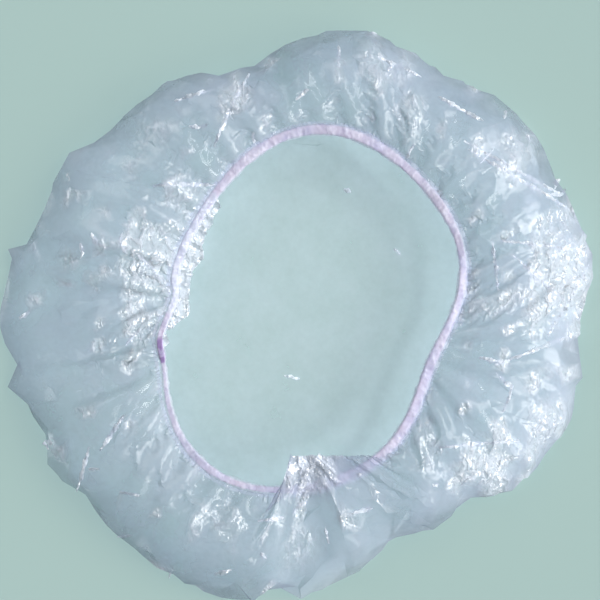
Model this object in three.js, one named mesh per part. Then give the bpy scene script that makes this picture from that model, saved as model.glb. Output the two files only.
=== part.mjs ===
// A disposable shower cap, lying on its crown with the mouth up.
// One disc of clear film makes the crown, the rounded rim and the gathered skirt. The film's edge is folded
// into a casing round a strip of elastic, a sealed line closes the casing, and a lap weld closes the strip.
// Millimetres, +Z up. The origin is on the table, under the middle of the cap.
import * as THREE from "three";

// Driving dimensions of the film
const CAP_WIDTH = 286; // mean width of the cap as it lies, rim to rim
const CAP_HEIGHT = 36; // to the top of the highest fold in the skirt
const FILM_DISC = 470; // width of the flat disc of film, up to the sealed line
const CRUMPLE_SHARE = 0.01; // share of the film that fine crumples take up
const SWELL_SHARE = 0.5; // where the skirt swells most, as a share of the way from the mouth to the rim
const RIM_ROLL = 14; // width of the rolled rim, from the edge of the flat crown out to the rim
const FILM_WALL = 0.7; // stands in for film of 0.02 mm, which is too thin to handle as a solid

// The rim is not round: each lobe swells it by a depth, a number of times round, from a direction in degrees
const OVAL_DEPTH = 10;
const CORNER_DEPTH = 2.4;
const SIDE_DEPTH = 3;
const RIM_LOBES = [
  { count: 2, depth: OVAL_DEPTH, from: 26 },
  { count: 3, depth: CORNER_DEPTH, from: 12 },
  { count: 4, depth: SIDE_DEPTH, from: -15 },
  { count: 6, depth: CORNER_DEPTH, from: 25 },
];

// Driving dimensions of the mouth, measured to the middle of the elastic
const MOUTH_LENGTH = 184;
const MOUTH_WIDTH = 138;
const MOUTH_LEAN = 70; // degrees from +X to the mouth's long axis
const MOUTH_OFFSET_X = 6; // from the middle of the rim to the middle of the mouth
const MOUTH_OFFSET_Y = 2.3;
const MOUTH_HEIGHT = 24; // height of the elastic over the table
const MOUTH_TILT_HEIGHT = 2; // how much higher the +X side stands, and lower the other

// The elastic lies slack, so its oval bows in and out by lobes like the rim's
const EGG_DEPTH = 1.2;
const BOW_DEPTH = 1.8;
const MOUTH_LOBES = [
  { count: 3, depth: EGG_DEPTH, from: 6 },
  { count: 4, depth: BOW_DEPTH, from: 23 },
  { count: 5, depth: BOW_DEPTH, from: 16 },
];

// The gathers: small ones start at the mouth and die out, and main folds run on over the rim.
// Each small one ends in a scallop along the fold of the casing.
const GATHER_COUNT = 60;
const GATHER_DEPTH = 1.6; // half the height of a small gather where it is deepest
const FOLD_COUNT = 20;
const FOLD_DEPTH = 2.4; // half the height of a main fold
const SCALLOP_DEPTH = 1.6; // how far each scallop reaches into the mouth

// The elastic strip, and the lap where its two ends are welded
const ELASTIC_WIDTH = 4;
const ELASTIC_THICKNESS = 0.8;
const LAP_LENGTH = 14;
const LAP_DIRECTION = 195; // degrees round the mouth to the middle of the lap
const LAP_RAMP = 16; // length along which the upper end climbs onto the lower one
const WELD_THICKNESS = 0.4;
const WELD_LENGTH = 10;
const WELD_WIDTH = 3;

// The casing and the sealed line that closes it
const CASING_WALL = 0.6;
const CASING_ROOM = 0.5; // free space round the elastic inside the casing
const SEAL_WIDTH = 3;
const SEAL_THICKNESS = 0.6;
const SEAL_GRIP = 0.9; // how far the casing's lips reach over the sealed line

const GAP = 0.3; // between pieces that touch

// How finely the surfaces are cut up
const COLUMNS = 2 * GATHER_COUNT; // a ridge and a valley to each gather
const SKIRT_ROWS = 11;
const CASING_POINTS = 8; // along the outer face of the casing, and again along its inner face
const CASING_SQUARENESS = 4; // exponent of the casing's rounded-off section: 2 is an ellipse

const radians = THREE.MathUtils.degToRad;
const smoothstep = THREE.MathUtils.smoothstep;
const UP = new THREE.Vector3(0, 0, 1);

// Heights inside the casing, over the middle of the elastic's lower layer
const lapRise = ELASTIC_THICKNESS + WELD_THICKNESS + 2 * GAP;
const casingMiddle = lapRise / 2;
const innerHalfHeight = (lapRise + ELASTIC_THICKNESS) / 2 + CASING_ROOM;
const innerHalfWidth = ELASTIC_WIDTH / 2 + CASING_ROOM + GAP;
const outerHalfHeight = innerHalfHeight + CASING_WALL;
const outerHalfWidth = innerHalfWidth + CASING_WALL;
const sealStart = outerHalfWidth - SEAL_GRIP;
const sealEnd = sealStart + SEAL_WIDTH;

// What lobes add to a radius in a direction given in radians
function lobed(lobes, direction) {
  return lobes.reduce(
    (sum, { count, depth, from }) => sum + depth * Math.cos(count * (direction - radians(from))),
    0,
  );
}

function rimRadius(direction) {
  return CAP_WIDTH / 2 + lobed(RIM_LOBES, direction);
}

// The mouth's line in plan, once round from the end of its long axis
const mouthCentre = new THREE.Vector2(MOUTH_OFFSET_X, MOUTH_OFFSET_Y);
class MouthLine extends THREE.Curve {
  getPoint(turn, target = new THREE.Vector2()) {
    const fromAxis = 2 * Math.PI * turn;
    const direction = fromAxis + radians(MOUTH_LEAN);
    const along = Math.cos(fromAxis) / (MOUTH_LENGTH / 2);
    const across = Math.sin(fromAxis) / (MOUTH_WIDTH / 2);
    const radius = 1 / Math.hypot(along, across) + lobed(MOUTH_LOBES, direction);
    return target.set(Math.cos(direction), Math.sin(direction)).multiplyScalar(radius).add(mouthCentre);
  }
}
const mouthLine = new MouthLine();

// Share of the mouth's length that lies before a direction seen from its centre
function shareAt(direction) {
  const SAMPLES = 720;
  const wanted = new THREE.Vector2(Math.cos(direction), Math.sin(direction));
  let best = 0;
  let bestDot = -1;
  for (let i = 0; i < SAMPLES; i++) {
    const toward = mouthLine.getPointAt(i / SAMPLES).sub(mouthCentre).normalize();
    if (toward.dot(wanted) > bestDot) {
      bestDot = toward.dot(wanted);
      best = i / SAMPLES;
    }
  }
  return best;
}

// A place on the mouth: the middle of the elastic there, and the direction away from the mouth
function mouthAt(share) {
  const turn = share - Math.floor(share);
  const plan = mouthLine.getPointAt(turn);
  const along = mouthLine.getTangentAt(turn);
  const direction = Math.atan2(plan.y - mouthCentre.y, plan.x - mouthCentre.x);
  return {
    middle: new THREE.Vector3(plan.x, plan.y, MOUTH_HEIGHT + MOUTH_TILT_HEIGHT * Math.cos(direction)),
    outward: new THREE.Vector3(along.y, -along.x, 0),
    direction,
  };
}

const stations = Array.from({ length: COLUMNS }, (_, column) => mouthAt(column / COLUMNS));

// A point of a section set up at a place on the mouth: out from the elastic, and up
function placed({ middle, outward }, out, up) {
  return middle.clone().addScaledVector(outward, out).addScaledVector(UP, up);
}

// A mesh from rows of points that all have the same count, each row closed on itself.
// The last row joins the first, or else flat ends close the first and the last.
function sweep(rows, closed) {
  const count = rows[0].length;
  const index = [];
  const at = (row, point) => (row % rows.length) * count + (point % count);
  const spans = closed ? rows.length : rows.length - 1;
  for (let row = 0; row < spans; row++) {
    for (let point = 0; point < count; point++) {
      const corners = [at(row, point), at(row, point + 1), at(row + 1, point + 1), at(row + 1, point)];
      index.push(corners[0], corners[1], corners[2], corners[0], corners[2], corners[3]);
    }
  }
  if (!closed) {
    const last = rows.length - 1;
    for (let point = 1; point < count - 1; point++) {
      index.push(at(0, 0), at(0, point + 1), at(0, point));
      index.push(at(last, 0), at(last, point), at(last, point + 1));
    }
  }
  return new THREE.BufferGeometry().setFromPoints(rows.flat()).setIndex(index);
}

// The four corners of a flat strip's section, in the order that faces outwards along a sweep
function stripSection(place, start, end, height, thickness) {
  const half = thickness / 2;
  return [
    placed(place, start, height - half),
    placed(place, start, height + half),
    placed(place, end, height + half),
    placed(place, end, height - half),
  ];
}

// Halves the range between a value that is too small and one that is too large
function between(low, high, tooSmall) {
  for (let step = 0; step < 16; step++) {
    const middle = (low + high) / 2;
    if (tooSmall(middle)) low = middle;
    else high = middle;
  }
  return (low + high) / 2;
}

// A meridian of the skirt: from the crown's edge it just reaches the rim and turns back to the mouth.
// It swells as high as its film reaches, and lies low where the way back is long.
function skirtMeridian(toRim, rim, edge, crownHeight) {
  const crownEdge = toRim.clone().multiplyScalar(rim - RIM_ROLL).setZ(crownHeight);
  const swell = edge.clone().lerp(toRim.clone().multiplyScalar(rim), SWELL_SHARE);
  const meridian = (reach, lift) => {
    const turn = toRim.clone().multiplyScalar(reach).setZ(crownHeight);
    return new THREE.CubicBezierCurve3(crownEdge, turn, swell.clone().setZ(lift), edge);
  };
  const furthest = (reach) => Math.max(...meridian(reach, 0).getPoints(40).map((point) => point.dot(toRim)));
  const reach = between(rim, 2 * rim, (value) => furthest(value) < rim);
  const filmLength = (FILM_DISC / 2) * (1 - CRUMPLE_SHARE) - (rim - RIM_ROLL);
  // Three quarters along, the third control and the end weigh 27/64 each, which sets the skirt's top
  const highest = (CAP_HEIGHT - GATHER_DEPTH - FOLD_DEPTH - FILM_WALL / 2) / (27 / 64) - edge.z;
  const lift = between(edge.z, highest, (value) => meridian(reach, value).getLength() < filmLength);
  return meridian(reach, lift);
}

// The film: a flat crown, and a skirt that rolls out to the rim and back to the sealed line
function filmGeometry() {
  const crownHeight = FILM_WALL / 2;
  const filmEdge = sealEnd + GAP;
  const columns = stations.map((place, column) => {
    const edge = placed(place, filmEdge, casingMiddle);
    const rim = rimRadius(place.direction);
    const toRim = new THREE.Vector3(Math.cos(place.direction), Math.sin(place.direction), 0);
    const meridian = skirtMeridian(toRim, rim, edge, crownHeight);
    const gather = GATHER_DEPTH * Math.cos((GATHER_COUNT * 2 * Math.PI * column) / COLUMNS);
    const fold = FOLD_DEPTH * Math.cos((FOLD_COUNT * 2 * Math.PI * column) / COLUMNS);
    return Array.from({ length: SKIRT_ROWS + 1 }, (_, row) => {
      const share = row / SKIRT_ROWS;
      const flattened = 1 - smoothstep(share, 0.8, 1); // the sealed line holds the film's edge flat
      const rise = gather * smoothstep(share, 0.5, 0.8) + fold * smoothstep(share, 0.2, 0.6);
      return meridian.getPoint(share).addScaledVector(UP, rise * flattened);
    });
  });
  return shell(columns, FILM_WALL);
}

// A closed shell of even wall from columns of points, each running from a flat crown to a free edge
function shell(columns, wall) {
  const rows = columns[0].length;
  const at = (column, row) => columns[(column + columns.length) % columns.length][row];
  const outward = (column, row) => {
    if (row === 0) return UP.clone().negate();
    const across = at(column + 1, row).clone().sub(at(column - 1, row));
    const along = at(column, Math.min(row + 1, rows - 1)).clone().sub(at(column, row - 1));
    return across.cross(along).normalize();
  };
  const points = [];
  for (const offset of [wall / 2, -wall / 2]) {
    for (let column = 0; column < columns.length; column++) {
      for (let row = 0; row < rows; row++) {
        points.push(at(column, row).clone().addScaledVector(outward(column, row), offset));
      }
    }
  }
  const inside = columns.length * rows;
  const bottom = points.push(new THREE.Vector3(0, 0, at(0, 0).z - wall / 2)) - 1;
  const top = points.push(new THREE.Vector3(0, 0, at(0, 0).z + wall / 2)) - 1;
  const index = [];
  for (let column = 0; column < columns.length; column++) {
    const here = column * rows;
    const next = ((column + 1) % columns.length) * rows;
    const edge = rows - 1;
    index.push(bottom, next, here, top, inside + here, inside + next);
    for (let row = 0; row < edge; row++) {
      const [a, b, c, d] = [here + row, next + row, next + row + 1, here + row + 1];
      index.push(a, b, c, a, c, d);
      index.push(inside + a, inside + c, inside + b, inside + a, inside + d, inside + c);
    }
    index.push(here + edge, next + edge, inside + next + edge);
    index.push(here + edge, inside + next + edge, inside + here + edge);
  }
  return new THREE.BufferGeometry().setFromPoints(points).setIndex(index);
}

// The casing: an open tube round the elastic. Its slit faces the skirt, and its fold is scalloped
function casingGeometry() {
  const slitHalf = SEAL_THICKNESS / 2 + GAP;
  const roundOff = (value) => Math.sign(value) * Math.abs(value) ** (2 / CASING_SQUARENESS);
  const face = (halfWidth, halfHeight, scallop) => {
    const slit = Math.asin((slitHalf / halfHeight) ** (CASING_SQUARENESS / 2));
    return Array.from({ length: CASING_POINTS }, (_, i) => {
      const angle = slit + ((2 * Math.PI - 2 * slit) * i) / (CASING_POINTS - 1);
      const out = halfWidth * roundOff(Math.cos(angle));
      const inwards = Math.max(0, -Math.cos(angle));
      return [out - scallop * inwards, halfHeight * roundOff(Math.sin(angle))];
    });
  };
  const rows = stations.map((place, column) => {
    const scallop = column % 2 ? SCALLOP_DEPTH : 0;
    const outer = face(outerHalfWidth, outerHalfHeight, scallop).reverse();
    const inner = face(innerHalfWidth, innerHalfHeight, scallop);
    return [...inner, ...outer].map(([out, up]) => placed(place, out, casingMiddle + up));
  });
  return sweep(rows, true);
}

// The sealed line: a fused strip held between the casing's lips and the edge of the skirt
function sealGeometry() {
  const rows = stations.map((place) => stripSection(place, sealStart, sealEnd, casingMiddle, SEAL_THICKNESS));
  return sweep(rows, true);
}

const loopLength = mouthLine.getLength();
const lapStart = shareAt(radians(LAP_DIRECTION)) - LAP_LENGTH / 2 / loopLength;

// The elastic: a strip once round the mouth, whose end climbs over its start for the length of the lap
function elasticGeometry() {
  const turns = 1 + LAP_LENGTH / loopLength;
  const climbEnd = 1 - GAP / loopLength;
  const climbStart = climbEnd - LAP_RAMP / loopLength;
  const rows = [];
  for (let step = 0; step <= COLUMNS; step++) {
    const along = (turns * step) / COLUMNS;
    const height = lapRise * smoothstep(along, climbStart, climbEnd);
    const place = mouthAt(lapStart + along);
    rows.push(stripSection(place, -ELASTIC_WIDTH / 2, ELASTIC_WIDTH / 2, height, ELASTIC_THICKNESS));
  }
  return sweep(rows, false);
}

// The lap weld: a pad of fused elastic between the strip's two ends
function weldGeometry() {
  const STEPS = 4;
  const start = lapStart + (LAP_LENGTH - WELD_LENGTH) / 2 / loopLength;
  const rows = [];
  for (let step = 0; step <= STEPS; step++) {
    const place = mouthAt(start + (WELD_LENGTH / loopLength) * (step / STEPS));
    rows.push(stripSection(place, -WELD_WIDTH / 2, WELD_WIDTH / 2, lapRise / 2, WELD_THICKNESS));
  }
  return sweep(rows, false);
}

function piece(name, geometry, look) {
  const mesh = new THREE.Mesh(geometry, new THREE.MeshStandardMaterial({ metalness: 0, ...look }));
  mesh.name = name;
  return mesh;
}

const clearFilm = { color: 0xc9d6e4, roughness: 0.12, transparent: true, opacity: 0.35 };
const fusedFilm = { color: 0xd6deea, roughness: 0.3, transparent: true, opacity: 0.5 };
const pinkElastic = { color: 0xd8b4d8, roughness: 0.65 };
const fusedElastic = { color: 0xb08cc0, roughness: 0.45 };

const cap = new THREE.Group();
cap.add(
  piece("cap_film", filmGeometry(), clearFilm),
  piece("hem_casing", casingGeometry(), clearFilm),
  piece("hem_seal", sealGeometry(), fusedFilm),
  piece("elastic_band", elasticGeometry(), pinkElastic),
  piece("elastic_lap_weld", weldGeometry(), fusedElastic),
);

// The origin goes to the table under the middle of the cap's width and length
const box = new THREE.Box3().setFromObject(cap);
const middle = box.getCenter(new THREE.Vector3());
cap.position.set(-middle.x, -middle.y, -box.min.z);

export default cap;
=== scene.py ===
import math

import bpy
import numpy as np
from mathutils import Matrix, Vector
from mathutils.geometry import delaunay_2d_cdt
from mathutils.kdtree import KDTree


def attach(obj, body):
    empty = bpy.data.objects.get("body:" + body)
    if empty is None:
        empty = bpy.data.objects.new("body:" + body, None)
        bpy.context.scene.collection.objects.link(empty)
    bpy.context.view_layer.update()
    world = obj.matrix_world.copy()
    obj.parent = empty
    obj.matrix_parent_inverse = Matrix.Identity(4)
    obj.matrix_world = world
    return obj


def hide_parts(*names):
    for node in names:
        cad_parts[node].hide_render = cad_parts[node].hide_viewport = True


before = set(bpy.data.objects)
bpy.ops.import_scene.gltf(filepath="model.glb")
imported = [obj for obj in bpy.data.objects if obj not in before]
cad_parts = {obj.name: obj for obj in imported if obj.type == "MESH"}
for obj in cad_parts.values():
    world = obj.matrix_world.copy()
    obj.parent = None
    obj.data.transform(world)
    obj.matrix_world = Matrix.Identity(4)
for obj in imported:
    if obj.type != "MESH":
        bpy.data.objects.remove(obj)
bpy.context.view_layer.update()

# Sizes are in millimetres and directions in degrees, until a mesh or a tree is made
MM = 0.001

# The middle of the rim in the frame of the solids. Places in plan are given from it
RIM_MIDDLE = np.array([-2.42, 2.06])

# The mouth, as the solids have it: an oval of slack elastic, and its height over the table
MOUTH_MIDDLE = RIM_MIDDLE + np.array([6.0, 2.3])
MOUTH_LENGTH = 184.0
MOUTH_WIDTH = 138.0
MOUTH_LEAN = 70.0
MOUTH_LOBES = [(3, 1.2, 6), (4, 1.8, 23), (5, 1.8, 16)]  # how many bows, how deep, where the first is
MOUTH_KINKS = [(174, -2.6, 7), (191, 2.8, 7)]  # where the lap pulls the strip out of line
MOUTH_HEIGHT = 24.9
MOUTH_TILT = 2.0

# The film: a disc cut from a roll
FILM_RADIUS = 235.0
CROWN_HELD = 90.0  # inside this radius the crown's own weight holds it to the table
HEM_OUT = 2.0  # from the middle of the elastic out to where the film goes into the casing
ROLL = 14.0  # width of the rolled rim outside the flat crown
SWELL_SHARE = 0.5  # where the skirt swells most, as a share of the way from the mouth to the rim
PEAK = 32.0  # no meridian of the film stands higher than this
PEAK_WEIGHT = 27 / 64  # what each of a meridian's last two points counts at three quarters of its curve
SLACK = 0.01  # share of the film's length that goes into crumples
TABLE_GAP = 0.2

# The flap where the skirt falls over the elastic: its depth by direction round the mouth, and its lift
FLAP_DEPTH = 20.0
FLAP_LIFT = 5.0
FLAP_FROM = [(-98, 0.0), (-95, 1.0), (-87, 0.9), (-77, 0.7), (-68, 0.4), (-60, 0.0)]
FLAP_HELD = 0.3  # where the flap is deeper than this share, its fold stays put

# Crumpled patches of the skirt: place, size and strength
CRUSHED = [
    (-73, 34, 14, 0.8), (-65, 14, 15, 0.8), (-75, -4, 12, 0.8), (-78, 18, 12, 0.7), (134, 18, 18, 1.0),
    (120, 6, 13, 0.8), (92, 6, 9, 0.5), (96, -74, 13, 0.9), (126, -54, 9, 0.8), (62, -64, 10, 0.4),
    (8, -75, 11, 0.9), (-30, 108, 9, 0.7), (40, 122, 11, 0.5), (56, 100, 9, 0.5), (108, 80, 11, 0.6),
    (128, 46, 10, 0.6), (-56, 58, 8, 0.5), (-36, -100, 10, 0.4), (2, -112, 9, 0.4), (-70, 90, 9, 0.35),
]
HEM_CRUSH = 0.1  # how crumpled the gathers beside the hem are
CLOUD_REACH = 2.5  # how far the film is cloudy round a crumpled patch, in sizes of the patch
HAZE_LEVEL = 0.2  # how much of the haze is lit as if the film lay flat

# Where the skirt swells over its own line: place, size and height
SWELLS = [(-96, 16, 24, 6.0)]

# Creases of the skirt and of the crown, each along a line of points. Short ones lie at random on the skirt
CREASES = [
    [(82, 86), (104, 74), (132, 60)], [(84, 82), (112, 66), (138, 52)], [(-70, 64), (-37, 65)],
    [(-23, 120), (-32, 102), (-40, 83)], [(-102, -64), (-106, -80), (-109, -87)], [(-84, -48), (-96, -66)],
    [(98, -28), (106, -35), (102, -47)], [(96, 38), (99, 13)], [(100, 37), (148, 32)],
    [(97, -24), (140, -8)], [(124, -10), (147, 27)], [(70, -64), (110, -61)], [(120, -50), (129, -55)],
    [(-77, 30), (-60, 12)], [(106, 30), (132, 8)], [(70, 108), (92, 96)], [(40, 128), (62, 118)],
    [(-60, 106), (-40, 112)],
]
CROWN_CREASES = [
    [(37, 46), (41, 41)], [(36, 42), (38, 38)], [(33, 44), (39, 45)], [(38, 37), (39, 42)],
    [(49, 34), (53, 31)], [(48, 30), (52, 34)], [(66, 58), (69, 54)], [(65, 53), (68, 50)],
    [(-31, 60), (-29, 55)], [(24, 64), (29, 62)], [(20, -64), (24, -69)], [(-6, -30), (2, -32)],
]
SHORT_CREASES = 36
CREASE_WIDTH = 1.3
CREASE_HEIGHT = 0.5
CREASE_STEP = 1.3  # between the points along a crease
CREASE_WANDER = 0.15  # how far its points stray from its line
CREASE_SINK = 0.2  # how far its edges lie under the film
CREASE_REACH = 1.5  # a crease stops where the film is farther off than this
SKIRT_FROM = 0.67  # shares of the film's radius between which no crease lies
CROWN_TO = 0.5

# How the film settles
SETTLE_STEPS = 400
WEIGHT = 0.002  # how far the film falls in a step
DAMPING = 0.85  # how much of its speed it keeps
MEMORY = 0.08  # how strongly the film keeps the form that it was folded in, wrinkles apart
MEMORY_STEPS = 4  # it is pulled back to that form once in this many steps
STIFF = 0.05  # how strongly a fold is pushed open
SLANT_GIVE = 0.6  # how strongly a diagonal keeps its length
CRUMPLE_SLOPE = 0.07  # of the facets that it starts with, and where it is crushed
CRUSH_SLOPE = 0.45
CRUSH_SPARE = 0.07  # share of length over where it is crushed
LENGTH_SPARE = 0.055  # most of the length over in a meridian that is drawn as wrinkles
RING_SPARE = [(160, 0.004), (190, 0.01), (214, 0.06), (227, 0.16), (235, 0.3)]  # and in rings, by radius

# The rim's corners as it lies
RIM_CORNERS = [
    (-145, 34), (-134, 36), (-123, 62), (-115, 81), (-102, 85), (-86, 100), (-66, 117), (-46, 121),
    (-23, 124), (-14, 131), (2, 139), (18, 143), (35, 143), (47, 138), (85, 116), (99, 111), (110, 102),
    (119, 92), (129, 72), (140, 51), (149, 30), (145, 6), (141, -4), (144, -32), (138, -53), (119, -78),
    (108, -88), (87, -91), (69, -107), (50, -111), (32, -128), (16, -136), (2, -143), (-22, -144),
    (-47, -138), (-70, -126), (-96, -104), (-125, -75), (-124, -63), (-132, -50), (-146, -35), (-150, -2),
]

# The elastic's length round the mouth, and its lap: where it starts as a share of that, and its middle
LOOP = 510.1
LAP = 14.0
LAP_SHARE = 0.3218
LAP_DIRECTION = 195.0
LAP_REACH = 5.5
LAP_FADE = 1.5
LAP_RAMP = 16.0
LAP_RISE = 1.4

# The frill inside the elastic: its width by direction round the mouth, and its ruffles
FRILL = [
    (128, 0.0), (131, 6.0), (138, 8.0), (142, 6.0), (150, 10.5), (163, 10.0), (168, 7.0), (177, 9.0),
    (185, 6.0), (187, 2.0), (192, 5.0), (196, 0.0),
]
FRILL_FOLDS = 11
FRILL_STEPS = 16  # points along each ruffle
FRILL_ROWS = 12
FRILL_RUFFLE = 1.3
FRILL_ROOT = 1.2  # it starts this far outside the mouth's line, and over it
FRILL_LIFT = 0.5
FRILL_DROOP = 1.5  # how far an edge of the full width hangs
FRILL_FULL = 9.0

# Bands of folds in the skirt: how many, their height, and the shares of the film's radius where they start,
# stand highest and stop
GATHERS = 128
FOLD_BANDS = [(23, 0.25, 0.62, 0.74, 0.9), (47, 0.3, 0.82, 0.93, 0.98), (GATHERS, 0.3, 0.955, 0.99, 1.0)]

# The film's flat facets: how many to a millimetre, by share of its radius, and more where it is crushed
FACET_SHARE = [(0.0, 0.06), (0.5, 0.07), (0.62, 0.1), (0.82, 0.14), (0.93, 0.5), (1.0, 0.9)]
FACET_CRUSH = 0.25
FACET_AREA = 0.87  # of an edge squared, for each point of a net of even triangles
CREASE_ANGLE = 30.0  # film bent more than this shows a sharp crease

# Lamps: direction, elevation, half angle as the cap sees it, and radiance
LAMPS = [
    ("window", 24, 38, 15, 5.5),
    ("key", 8, 54, 5.5, 11),
    ("side", -14, 28, 14, 8.5),
    ("side_back", 50, 42, 4, 9),
    ("side_front", -40, 42, 4, 7),
    ("left", 170, 50, 2, 6),
    ("back", 122, 40, 18, 1.9),
    ("front", -52, 36, 14, 3.0),
]
FLOOR_REACH = 3000.0
CAMERA_SHIFT = np.array([2.0, 8.0])
CAMERA_HEIGHT = 1010.0

SEED = 7
rng = np.random.default_rng(SEED)

# The film's grid: columns round it, and rows by their radius on the flat disc
COLUMNS = 512
film_rows = np.concatenate([[3, 8, 15, 23, 32, 42, 53, 64, 75, 86], np.linspace(96, FILM_RADIUS, 122)])
film_share = film_rows / FILM_RADIUS
shares = np.arange(COLUMNS) / COLUMNS
cut_angle = np.radians(MOUTH_LEAN) + 2 * np.pi * shares


def outside(start, width):
    """For each row, 0 up to a share of the film's radius and 1 from a width past it."""
    return np.clip((film_share - start) / width, 0, 1)[:, None]


def inside(stop, width):
    """For each row, 0 past a share of the film's radius and 1 up to a width before it."""
    return np.clip((stop - film_share) / width, 0, 1)[:, None]


def turn_apart(direction, other):
    """The turn from one direction to another, between -180 and 180."""
    return (direction - other + 180) % 360 - 180


def mouth_places(at_shares):
    """Points of the mouth's line at shares of its length, with the ways out of it and the heights there."""
    turn = np.linspace(0, 2 * np.pi, 7201)
    direction = turn + math.radians(MOUTH_LEAN)
    radius = 1 / np.hypot(np.cos(turn) / (MOUTH_LENGTH / 2), np.sin(turn) / (MOUTH_WIDTH / 2))
    for count, depth, start in MOUTH_LOBES:
        radius = radius + depth * np.cos(count * (direction - math.radians(start)))
    for place, depth, width in MOUTH_KINKS:
        radius = radius + depth * np.exp(-((turn_apart(np.degrees(direction), place) / width) ** 2))
    line = np.array([radius * np.cos(direction), radius * np.sin(direction)])
    tangent = np.gradient(line, axis=1)
    away = np.array([tangent[1], -tangent[0]]) / np.linalg.norm(tangent, axis=0)
    length = np.concatenate([[0], np.cumsum(np.linalg.norm(np.diff(line, axis=1), axis=0))])
    at = np.asarray(at_shares) % 1.0 * length[-1]
    place = np.column_stack([np.interp(at, length, row) for row in line])
    away = np.column_stack([np.interp(at, length, row) for row in away])
    height = MOUTH_HEIGHT + MOUTH_TILT * np.cos(np.arctan2(place[:, 1], place[:, 0]))
    return place + MOUTH_MIDDLE, away, height


def rim_radius(direction):
    """Distance from the middle of the crown to the rim, in each direction."""
    corners = np.array(RIM_CORNERS, float)
    closed = np.vstack([corners, corners[:1]])
    along = np.linspace(0, 1, 40, False)
    line = np.concatenate([a + np.outer(along, b - a) for a, b in zip(closed, closed[1:])])
    angle = np.arctan2(line[:, 1], line[:, 0])
    return np.interp(direction, *np.array(sorted(zip(angle, np.hypot(*line.T)))).T, period=2 * np.pi)


def crumples(x, y, shortest, longest, count, slope):
    """Heights of crumpled film: sharp folds in many directions, with flat facets of a slope between them."""
    total = np.zeros_like(x)
    for _ in range(count):
        length = math.exp(rng.uniform(math.log(shortest), math.log(longest)))
        turn = rng.uniform(0, 2 * np.pi)
        phase = rng.uniform(0, 2 * np.pi)
        across = 2 * np.pi / length * (x * math.cos(turn) + y * math.sin(turn)) + phase
        total += length / 4 * 2 / np.pi * np.arcsin(np.sin(across))
    return total * slope / math.sqrt(count)


def flap_depth(place):
    """How far the skirt falls over the elastic into the mouth: a flap at the front with a straight edge."""
    away = np.degrees(np.arctan2(*(place - MOUTH_MIDDLE).T[::-1]))
    return FLAP_DEPTH * np.interp(away, *zip(*FLAP_FROM))


def first_shape():
    """The film before it crumples: a flat crown, then meridians of its own length up and back to the mouth.

    Also says which points of the grid stay put: the fold of the flap and the corners of the rim.
    """
    place, away, height = mouth_places(shares)
    hem = np.column_stack([place + away * HEM_OUT, height])
    flap = flap_depth(place)
    over = np.column_stack([hem[:, :2] - away * flap[:, None], hem[:, 2] + FLAP_LIFT * flap / FLAP_DEPTH])
    toward = np.column_stack([np.cos(cut_angle), np.sin(cut_angle)])
    rim = rim_radius((cut_angle + np.pi) % (2 * np.pi) - np.pi)
    flat = rim - ROLL
    at_rim = RIM_MIDDLE + toward * rim[:, None]
    swell = over[:, :2] + SWELL_SHARE * (at_rim - over[:, :2])
    t = np.linspace(0, 1, 61)[:, None, None]
    weights = [(1 - t) ** 3, 3 * t * (1 - t) ** 2, 3 * t**2 * (1 - t), t**3]
    back = np.linspace(0, 1, 13)[1:, None, None]

    # How far out the second point of each curve lies, for the curve to touch the rim
    out = [((side - RIM_MIDDLE) * toward).sum(axis=1) for side in (swell, over[:, :2])]
    low, high = rim.copy(), 2 * rim
    for _ in range(20):
        reach = (low + high) / 2
        line = sum(w[:, :, 0] * x for w, x in zip(weights, (flat, reach, *out)))
        short = line.max(axis=0) < rim
        low, high = np.where(short, reach, low), np.where(short, high, reach)

    def meridians(lift):
        """The points of all meridians, for how high each of them swells."""
        start = np.column_stack([RIM_MIDDLE + toward * flat[:, None], np.zeros(COLUMNS)])
        turn = np.column_stack([RIM_MIDDLE + toward * reach[:, None], np.zeros(COLUMNS)])
        ends = (start, turn, np.column_stack([swell, lift]), over)
        skirt = sum(w * p[None] for w, p in zip(weights, ends))
        return np.concatenate([skirt, over[None] + back * (hem - over)[None]])

    def steps_along(lift):
        """The lengths between those points."""
        return np.linalg.norm(np.diff(meridians(lift), axis=0), axis=2)

    # How high each curve swells, for the meridian to take up the film's length
    wanted = (1 - SLACK) * FILM_RADIUS - flat
    low, high = hem[:, 2].copy(), PEAK / PEAK_WEIGHT - over[:, 2]
    for _ in range(24):
        middle = (low + high) / 2
        short = steps_along(middle).sum(axis=0) < wanted
        low = np.where(short, middle, low)
        high = np.where(short, high, middle)
    lift = (low + high) / 2
    line = meridians(lift)
    gone = np.concatenate([np.zeros((1, COLUMNS)), np.cumsum(steps_along(lift), axis=0)])

    shape = np.zeros((3, len(film_rows), COLUMNS))
    folded = np.zeros((len(film_rows), COLUMNS), bool)
    for column in range(COLUMNS):
        whole = flat[column] + gone[-1, column]
        at = film_rows / FILM_RADIUS * whole
        crown = at <= flat[column]
        for axis in range(3):
            curve = np.interp(at - flat[column], gone[:, column], line[:, column, axis])
            straight = (RIM_MIDDLE[axis] + at * toward[column, axis]) if axis < 2 else 0 * at
            shape[axis, :, column] = np.where(crown, straight, curve)
        if flap[column] > FLAP_HELD * FLAP_DEPTH:
            fold = np.searchsorted(at - flat[column], gone[len(t) - 1, column])
            folded[fold, column] = True
    for x, y in RIM_CORNERS:
        column = np.argmax(toward @ (x, y))
        row = np.argmax(np.hypot(*(shape[:2, :, column] - RIM_MIDDLE[:, None])))
        folded[row, column] = True
    skirt = outside(0.62, 0.06) * inside(1, 0.06)
    for x, y, size, height in SWELLS:
        off = np.hypot(shape[0] - RIM_MIDDLE[0] - x, shape[1] - RIM_MIDDLE[1] - y)
        shape[2] += skirt * height * np.exp(-((off / size) ** 2))
    return shape, folded


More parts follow.
